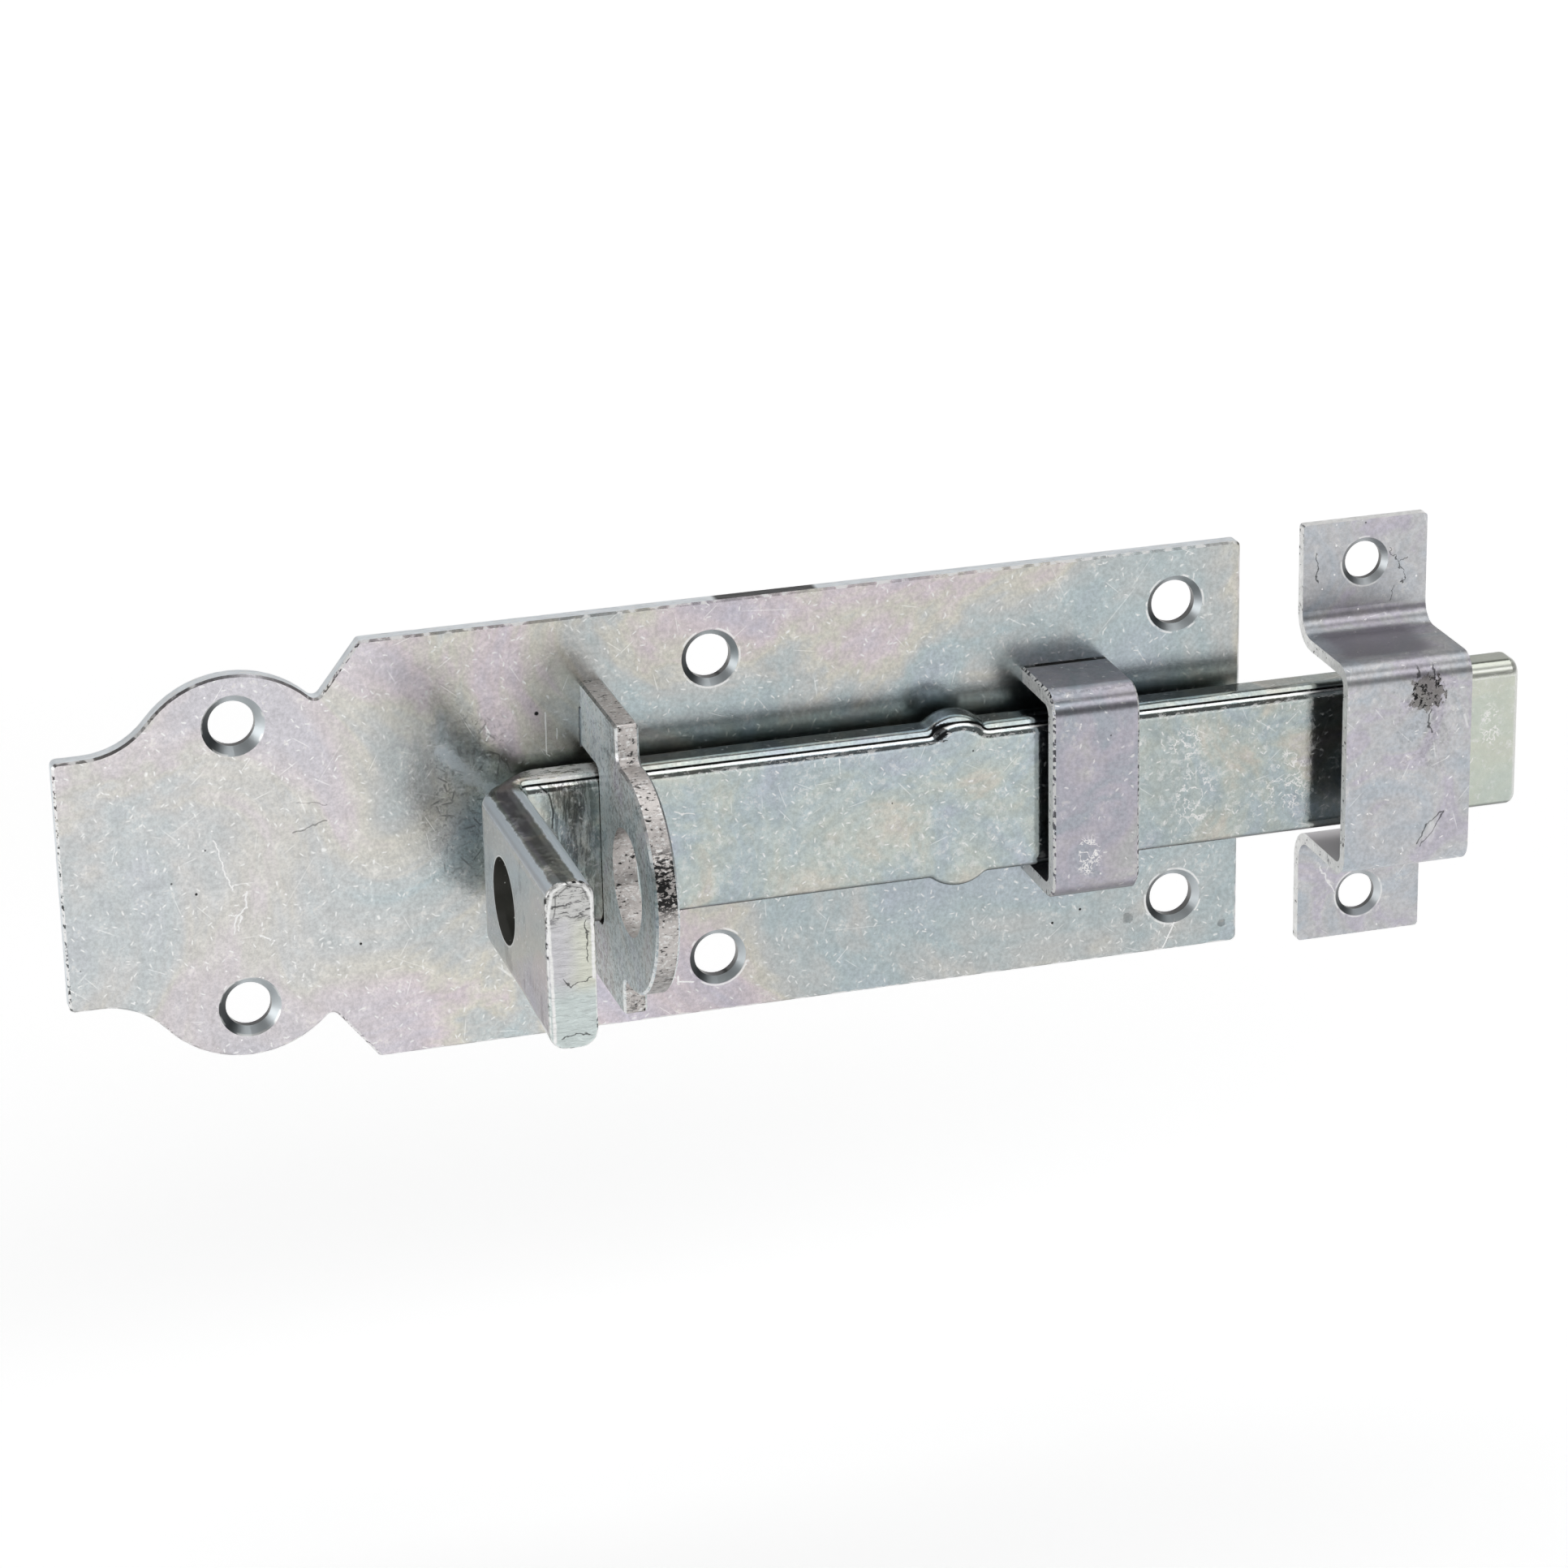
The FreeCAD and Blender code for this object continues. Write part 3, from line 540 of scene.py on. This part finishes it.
    end = skin.fall(skin.y, -43.2, -42.9) * skin.fall(skin.ny, -0.55, -0.30)
    tear = skin.clouds(0.8, 26, detail=4.0, rough=0.75, warp=0.4, stretch=(0.45, 1.0, 1.6))
    shift = (skin.clouds(3.0, 31, detail=3.0) - 0.5) * 5.0
    upper = skin.blend(skin.fall(tear, 0.42, 0.47) * skin.rise(skin.z + shift, 2.5, 4.5), END_GREY, DUSK)
    middle = skin.blend(skin.rise(skin.x + shift * 0.4, -30.4, -27.6), END_LILAC, END_CREAM)
    face = skin.blend(skin.rise(skin.z + shift, 3.0, 6.0), middle, upper)
    face = skin.blend(skin.fall(skin.z + shift * 0.6, -5.4, -2.6), face, END_TEAL)
    skin.paint(end, skin.tone(face, 0.70 + tear * 0.98), 0.36)
    bead = skin.line([(-31.5, -10.2), (-31.6, -2.0), (-31.8, 5.5), (-31.3, 8.6), (-29.4, 9.7), (-27.4, 9.3),
                      (-26.6, 7.4), (-26.5, 2.0), (-26.6, -2.6)], 0.30, 0.10)
    groove = skin.line([(-31.1, 5.5), (-30.8, 8.0), (-29.3, 9.2), (-27.6, 8.8), (-27.0, 7.2)], 0.14, 0.10)
    crack = skin.marks([
        ([(-30.1, -2.4), (-29.2, -3.6), (-27.0, -2.7)], 0.10, 0.35),
        ([(-27.4, 4.6), (-27.6, 3.8), (-27.2, 3.2), (-27.2, -0.6)], 0.13, 0.35),
        ([(-30.6, -9.9), (-28.8, -9.5), (-27.2, -9.8)], 0.14, 0.35),
    ])
    skin.paint((crack * 0.8 | groove * 0.5) * end, SOOT)
    skin.paint(bead * end, BARE, 0.3)
    lip = skin.band(skin.ny, -0.85, -0.25, 0.08) * skin.fall(skin.y, -43.15, -42.95)
    rind = skin.clouds(0.8, 27, detail=2.0)
    skin.paint(lip * skin.rise(rind, 0.46, 0.54) * 0.8, BARE, 0.3)
    skin.paint(lip * skin.fall(rind, 0.36, 0.42), SOOT)
    skin.height = skin.height + end * tear * 0.12

    bore = skin.vector("DISTANCE", skin.vector("MULTIPLY", skin.spot, (0.0, 1.0, 1.0)),
                       (0.0, *HANDLE_HOLE), output="Value") - HANDLE_HOLE_RADIUS
    # Painted shade: the wall of the handle's hole dark, with bare specks.
    wall = skin.fall(bore, 0.05, 0.15) * skin.fall(abs(skin.nx), 0.5, 0.7) * skin.fall(skin.x, -26.0, -25.9)
    skin.paint(wall, BORE, 0.5)
    skin.paint(wall * skin.specks(0.8, 0.14, 0.5, 28), BARE)
    skin.paint(skin.band(bore, 0.02, 0.22, 0.05) * side * 0.8, BARE, 0.4)
    return skin.done()


def keeper_zinc():
    """Keeper: lilac grey with a dark pitted blotch, dark scratches and a plum upper riser."""
    skin = Plating("keeper_zinc", 211.0)
    skin.coat([(0.33, KEEPER_TEAL), (0.43, KEEPER_BLUE), (0.52, KEEPER_GREY), (0.60, LILAC),
               (0.70, KEEPER_MAUVE)], 9.0, 0.32, mottle=0.24)
    screws = skin.beside(KEEPER_SCREWS)
    outer = skin.rise(screws, KEEPER_CONE_RADIUS + 0.05, KEEPER_CONE_RADIUS + 0.25)
    cone = skin.cone(screws, KEEPER_CONE_RADIUS + 0.1)
    skin.paint(cone, KEEPER_CONE, 0.40)
    # Painted shade: the cones darker where they face right.
    skin.shade(cone * skin.rise(skin.nx, 0.05, 0.55), 0.65)
    edge = skin.rise(abs(skin.nx), 0.75, 0.92) * outer
    skin.torn(edge, BARE, EVEN, 0.36, 0.56, 0.55)
    rim = skin.band(abs(skin.nx), 0.40, 0.80, 0.05) * outer
    crumbs = skin.clouds(0.6, 24, detail=2.0)
    skin.paint(rim * skin.rise(crumbs, 0.40, 0.50) * 0.7, BARE, 0.4)
    skin.paint(rim * skin.fall(crumbs, 0.45, 0.53) * 0.6, SOOT)
    riser = skin.rise(skin.nz, 0.85, 0.97) * skin.rise(skin.z, 0.0, 2.0)
    ragged = (skin.clouds(4.0, 37, detail=4.0) - 0.5) * 3.0
    plum = riser * skin.band(skin.x + ragged, 80.8, 93.0, 1.2) * skin.rise(skin.y + ragged * 0.4, -13.6, -12.2)
    skin.paint(plum * 0.75, KEEPER_PLUM)
    # Painted shade: the upper riser's top darker, and the bends a little darker.
    skin.shade(riser, 0.20)
    skin.bloom(riser, 0.15)
    skin.shade(skin.band(skin.nz, 0.20, 0.92, 0.1), 0.10)
    top_end = skin.rise(skin.nz, 0.75, 0.92) * skin.rise(skin.z, 27.4, 27.8)
    skin.torn(top_end, BARE, EVEN, 0.30, 0.56, 0.55)
    # Painted light: the lower riser's top inside the keeper made pale where it lies in shade.
    inside = skin.rise(skin.nz, 0.8, 0.95) * skin.fall(skin.z, -4.0, -2.0)
    skin.paint(inside, INSIDE_PAINTED_LIGHT, 0.6, 0.2)
    # Painted shade: the hole walls dark.
    skin.paint(skin.wall(screws, KEEPER_HOLE_RADIUS), DUSK, 0.3)
    skin.paint(skin.burr(screws, KEEPER_CONE_RADIUS + 0.02, KEEPER_CONE_RADIUS + 0.22) * 0.7, BARE, 0.4)
    blotch = skin.blot(90.4, 9.5, 2.4, 2.5, 2.0, 34, soft=0.12)
    pitted = skin.clouds(0.8, 35, detail=5.0, rough=0.8)
    skin.paint(blotch * 0.75, BLOTCH, 0.45)
    skin.paint(blotch * skin.fall(pitted, 0.43, 0.48), SOOT)
    skin.paint(blotch * skin.specks(0.7, 0.16, 0.3, 38), BARE)
    halo = skin.blot(90.4, 6.5, 4.6, 8.0, 2.0, 39)
    skin.shade(halo * skin.rise(pitted, 0.46, 0.60), 0.22)
    skin.paint(skin.marks([
        ([(91.0, 7.2), (90.5, 5.6), (90.9, 4.2)], 0.20, 0.5),
        ([(89.2, 11.6), (89.0, 13.6)], 0.22, 0.4),
        ([(91.3, 11.2), (91.2, 13.0)], 0.18, 0.4),
        ([(89.3, -11.0), (90.6, -8.4), (92.9, -6.8)], 0.12, 0.2),
        ([(89.7, -11.3), (91.6, -9.3), (92.9, -6.9)], 0.10, 0.2),
        ([(91.4, 23.8), (92.2, 22.0), (93.6, 20.4), (93.2, 19.2)], 0.10, 0.6),
        ([(92.4, 22.0), (93.9, 22.3)], 0.10, 0.6),
        ([(91.9, 18.8), (91.4, 16.9)], 0.10, 0.4),
        ([(81.2, 24.4), (81.4, 20.4)], 0.10, 0.3),
    ]) * 0.75, SOOT, 0.4)
    pale = skin.line([(82.4, -19.0), (83.4, -20.6), (84.6, -22.6)], 0.16, 0.4)
    pale = pale | skin.blot(91.2, -9.2, 0.7, 2.0, 0.6, 40) * 0.3
    skin.paint(pale * 0.7, BARE, 0.4)
    return skin.done()


def floor_paint():
    """White floor that keeps the shadow, and shows white to the camera and in the metal."""
    paint = Shader(bpy.data.materials.new("pale_floor"))
    rays = paint.node("ShaderNodeLightPath").socket.node
    seen = [Signal(paint, rays.outputs[name]) for name in
            ("Is Camera Ray", "Is Glossy Ray", "Is Transmission Ray")]
    away = paint.vector("LENGTH", paint.node("ShaderNodeTexCoord", output="Object"), output="Value")
    lift = paint.rise(away, FLOOR_LIFT_FROM, FLOOR_LIFT_TO) * (FLOOR_LIFT_FAR - FLOOR_LIFT_NEAR) + FLOOR_LIFT_NEAR
    matt = paint.node("ShaderNodeBsdfDiffuse", {}, {"Color": FLOOR_COLOUR})
    glow = paint.node("ShaderNodeEmission", {}, {"Color": (1.0, 1.0, 1.0, 1.0),
                                                 "Strength": (seen[0] | seen[1] | seen[2]) * lift})
    return paint.finish("ShaderNodeOutputMaterial", paint.node("ShaderNodeAddShader", {}, {0: matt, 1: glow}))


def make_room():
    """The floor, the dim room and the soft boxes."""
    mesh = bpy.data.meshes.new("floor")
    corners = [(-1.0, -1.0), (1.0, -1.0), (1.0, 1.0), (-1.0, 1.0)]
    mesh.from_pydata([(x * FLOOR_REACH, y * FLOOR_REACH, 0.0) for x, y in corners], [], [(0, 1, 2, 3)])
    mesh.materials.append(floor_paint())
    floor = bpy.data.objects.new("floor", mesh)
    floor.location = (0.0, 0.0, -FLOOR_DEPTH)
    bpy.context.scene.collection.objects.link(floor)

    world = bpy.data.worlds.new("room")
    bpy.context.scene.world = world
    air = Shader(world)
    along, up = air.parts(air.node("ShaderNodeTexCoord", output="Generated"))[1:]
    level = air.rise(along, 0.1, 0.6) * air.fall(up, 0.45, 0.75) * (BACKDROP - ROOM) + ROOM
    air.finish("ShaderNodeOutputWorld", air.node("ShaderNodeBackground", {}, {"Strength": level}))

    for name, box in SOFT_BOXES.items():
        lamp = bpy.data.lights.new(name, "AREA")
        lamp.shape = "RECTANGLE"
        lamp.size, lamp.size_y = box["size"]
        lamp.energy = box["radiance"] * math.pi * box["size"][0] * box["size"][1]
        holder = bpy.data.objects.new(name, lamp)
        holder.location = box["place"]
        holder.rotation_mode = "QUATERNION"
        holder.rotation_quaternion = (-Vector(box["place"])).to_track_quat("-Z", "Y")
        bpy.context.scene.collection.objects.link(holder)


def make_camera():
    """The camera at the photograph's place and turn."""
    yaw, pitch, roll = (math.radians(angle) for angle in (CAMERA_YAW, CAMERA_PITCH, CAMERA_ROLL))
    forward = Vector((math.sin(yaw) * math.cos(pitch), math.cos(yaw) * math.cos(pitch), -math.sin(pitch)))
    level = Vector((math.cos(yaw), -math.sin(yaw), 0.0))
    upright = level.cross(forward)
    right = level * math.cos(roll) + upright * math.sin(roll)
    up = upright * math.cos(roll) - level * math.sin(roll)
    lens = bpy.data.cameras.new("camera")
    lens.sensor_width = SENSOR_WIDTH
    lens.lens = FOCAL_LENGTH
    lens.clip_start = NEAREST_SEEN
    lens.clip_end = FARTHEST_SEEN
    camera = bpy.data.objects.new("camera", lens)
    camera.matrix_world = Matrix.Translation(CAMERA_PLACE) @ Matrix((right, up, -forward)).transposed().to_4x4()
    bpy.context.scene.collection.objects.link(camera)
    bpy.context.scene.camera = camera


make_room()
make_camera()
finishes = {"back_plate": plate_zinc, "staple": staple_zinc, "strap": strap_zinc,
            "bolt": bolt_zinc, "keeper": keeper_zinc}
for name, finish in finishes.items():
    skin = finish()
    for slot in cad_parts[name].material_slots:
        slot.material = skin

bpy.context.scene.view_settings.view_transform = "Standard"
